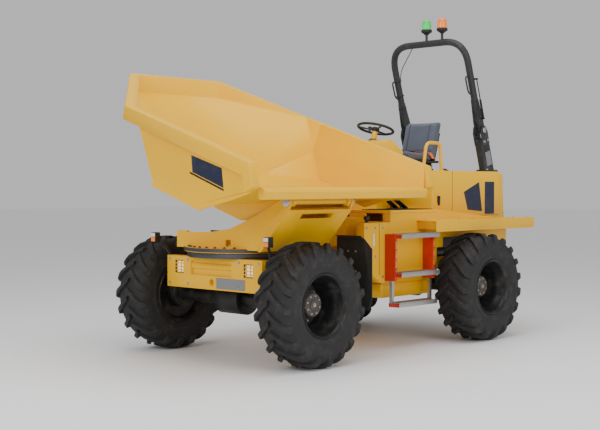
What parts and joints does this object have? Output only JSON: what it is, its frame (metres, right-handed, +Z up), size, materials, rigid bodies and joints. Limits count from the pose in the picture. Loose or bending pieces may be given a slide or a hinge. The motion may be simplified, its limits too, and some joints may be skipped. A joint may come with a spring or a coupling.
{
  "type": "site dumper, about 6 t payload class: articulated four-wheel swivel-skip dumper with folding roll bar",
  "caption": "Articulated site dumper with a swivelling, tipping skip over the front axle, an open driver's seat behind it and a folding roll bar",
  "frame": {"origin": "middle of the bounding box in plan, at floor level", "axes": "+X is forwards, towards the skip end; +Y is the machine's left; +Z is up"},
  "size_m": [4.6, 2.4104, 3.3983],
  "materials": {
    "yellow_paint": "gloss yellow machine paint",
    "red_paint": "satin red paint with orange reflective marks",
    "charcoal_paint": "satin charcoal powder coat",
    "black_paint": "satin black paint",
    "dark_steel": "dark machined and greased steel",
    "tyre_rubber": "matte black tyre rubber",
    "black_rubber": "matte black rubber sheet",
    "chromed_rod": "polished chrome",
    "seat_cover": "grey-blue weatherproof cover",
    "black_plastic": "matte black plastic",
    "green_lens": "clear green lens over a black foot",
    "amber_lens": "clear amber lens over a black foot"
  },
  "bodies": {
    "rear_chassis": {"rear_frame": "yellow_paint", "tank_left": "yellow_paint", "tank_right": "yellow_paint", "floor_plate": "yellow_paint", "rear_wheelhouse": "yellow_paint", "engine_hood": "yellow_paint", "engine_block": "dark_steel", "valve_cover": "yellow_paint", "fender_left": "yellow_paint", "fender_right": "yellow_paint", "console": "yellow_paint", "seat_base": "black_plastic", "seat_cushion": "seat_cover", "seat_back": "seat_cover", "handrail_left": "yellow_paint", "handrail_right": "yellow_paint", "step_left": "red_paint", "step_right": "red_paint", "rops_post_left": "charcoal_paint", "rops_post_right": "charcoal_paint", "rear_axle": "black_paint"},
    "rear_door": {"rear_door": "yellow_paint"},
    "steering_wheel": {"steering_wheel": "black_plastic"},
    "roll_bar": {"rops_hoop": "charcoal_paint", "beacon_green": "green_lens", "beacon_amber": "amber_lens"},
    "centre_yoke": {"centre_yoke": "dark_steel"},
    "front_chassis": {"front_frame": "yellow_paint", "front_bumper": "yellow_paint", "front_axle": "black_paint", "slew_ring": "dark_steel", "marker_lamp_left": "black_plastic", "marker_lamp_right": "black_plastic", "mudflap_left": "black_rubber", "mudflap_right": "black_rubber"},
    "steering_ram_barrel": {"steering_ram_barrel": "black_paint"},
    "steering_ram_rod": {"steering_ram_rod": "chromed_rod"},
    "swivel": {"swivel_frame": "yellow_paint"},
    "skip": {"skip_side_left": "yellow_paint", "skip_side_right": "yellow_paint", "skip_floor": "yellow_paint", "skip_rear": "yellow_paint", "skip_rim": "yellow_paint", "skip_beams": "yellow_paint"},
    "tip_ram_barrel": {"tip_ram_barrel": "black_paint"},
    "tip_ram_rod": {"tip_ram_rod": "chromed_rod"},
    "front_left_wheel": {"front_left_tyre": "tyre_rubber", "front_left_rim": "black_paint"},
    "front_right_wheel": {"front_right_tyre": "tyre_rubber", "front_right_rim": "black_paint"},
    "rear_left_wheel": {"rear_left_tyre": "tyre_rubber", "rear_left_rim": "black_paint"},
    "rear_right_wheel": {"rear_right_tyre": "tyre_rubber", "rear_right_rim": "black_paint"}
  },
  "joints": [
    {"name": "articulation", "type": "hinge", "parent": "rear_chassis", "child": "centre_yoke", "pos_m": [0.15, -0.0777, 0.67], "axis": [0, 0, -1], "range_deg": [-33, 33]},
    {"name": "oscillation", "type": "hinge", "parent": "centre_yoke", "child": "front_chassis", "pos_m": [0.15, -0.0777, 0.67], "axis": [1, 0, 0], "range_deg": [-10, 10]},
    {"name": "steering_ram_swing", "type": "hinge", "parent": "rear_chassis", "child": "steering_ram_barrel", "pos_m": [-0.45, 0.1223, 0.668], "axis": [0, 0, -1], "range_deg": [-8, 8]},
    {"name": "steering_ram_slide", "type": "slide", "parent": "steering_ram_barrel", "child": "steering_ram_rod", "axis": [0.9975, 0.0712, 0], "range_m": [-0.16, 0.16]},
    {"name": "swivel_turn", "type": "hinge", "parent": "front_chassis", "child": "swivel", "pos_m": [1.12, -0.0777, 0.95], "axis": [0, 0, 1], "range_deg": [-180, 0]},
    {"name": "skip_tip", "type": "hinge", "parent": "swivel", "child": "skip", "pos_m": [1.12, 0.8213, 1.438], "axis": [-1, 0, 0], "range_deg": [-13.5, 41.5]},
    {"name": "tip_ram_swing", "type": "hinge", "parent": "swivel", "child": "tip_ram_barrel", "pos_m": [1.12, 0.4423, 1.085], "axis": [-1, 0, 0], "range_deg": [-14, 41]},
    {"name": "tip_ram_slide", "type": "slide", "parent": "tip_ram_barrel", "child": "tip_ram_rod", "axis": [0, -0.814, 0.5809], "range_m": [-0.13, 0.38]},
    {"name": "steering_wheel_turn", "type": "hinge", "parent": "rear_chassis", "child": "steering_wheel", "pos_m": [-0.74, -0.0777, 2.17], "axis": [-0.28, 0, 0.96], "continuous": true},
    {"name": "rear_door_swing", "type": "hinge", "parent": "rear_chassis", "child": "rear_door", "pos_m": [-2.218, 0.5343, 1.45], "axis": [0, 0, -1], "range_deg": [0, 100]},
    {"name": "roll_bar_fold", "type": "hinge", "parent": "rear_chassis", "child": "roll_bar", "pos_m": [-1.9181, -0.0777, 2.18], "axis": [0, -1, 0], "range_deg": [0, 100]},
    {"name": "front_left_wheel_spin", "type": "hinge", "parent": "front_chassis", "child": "front_left_wheel", "pos_m": [1.272, 0.8573, 0.545], "axis": [0, 1, 0], "continuous": true},
    {"name": "front_right_wheel_spin", "type": "hinge", "parent": "front_chassis", "child": "front_right_wheel", "pos_m": [1.272, -1.0127, 0.545], "axis": [0, 1, 0], "continuous": true},
    {"name": "rear_left_wheel_spin", "type": "hinge", "parent": "rear_chassis", "child": "rear_left_wheel", "pos_m": [-1.272, 0.8573, 0.545], "axis": [0, 1, 0], "continuous": true},
    {"name": "rear_right_wheel_spin", "type": "hinge", "parent": "rear_chassis", "child": "rear_right_wheel", "pos_m": [-1.272, -1.0127, 0.545], "axis": [0, 1, 0], "continuous": true}
  ],
  "couplings": [
    {"joint": "steering_ram_swing", "follows": "articulation", "ratio": 0.15},
    {"joint": "steering_ram_slide", "follows": "articulation", "m_per_rad": 0.234},
    {"joint": "tip_ram_swing", "follows": "skip_tip", "ratio": 0.97},
    {"joint": "tip_ram_slide", "follows": "skip_tip", "m_per_rad": 0.49}
  ]
}
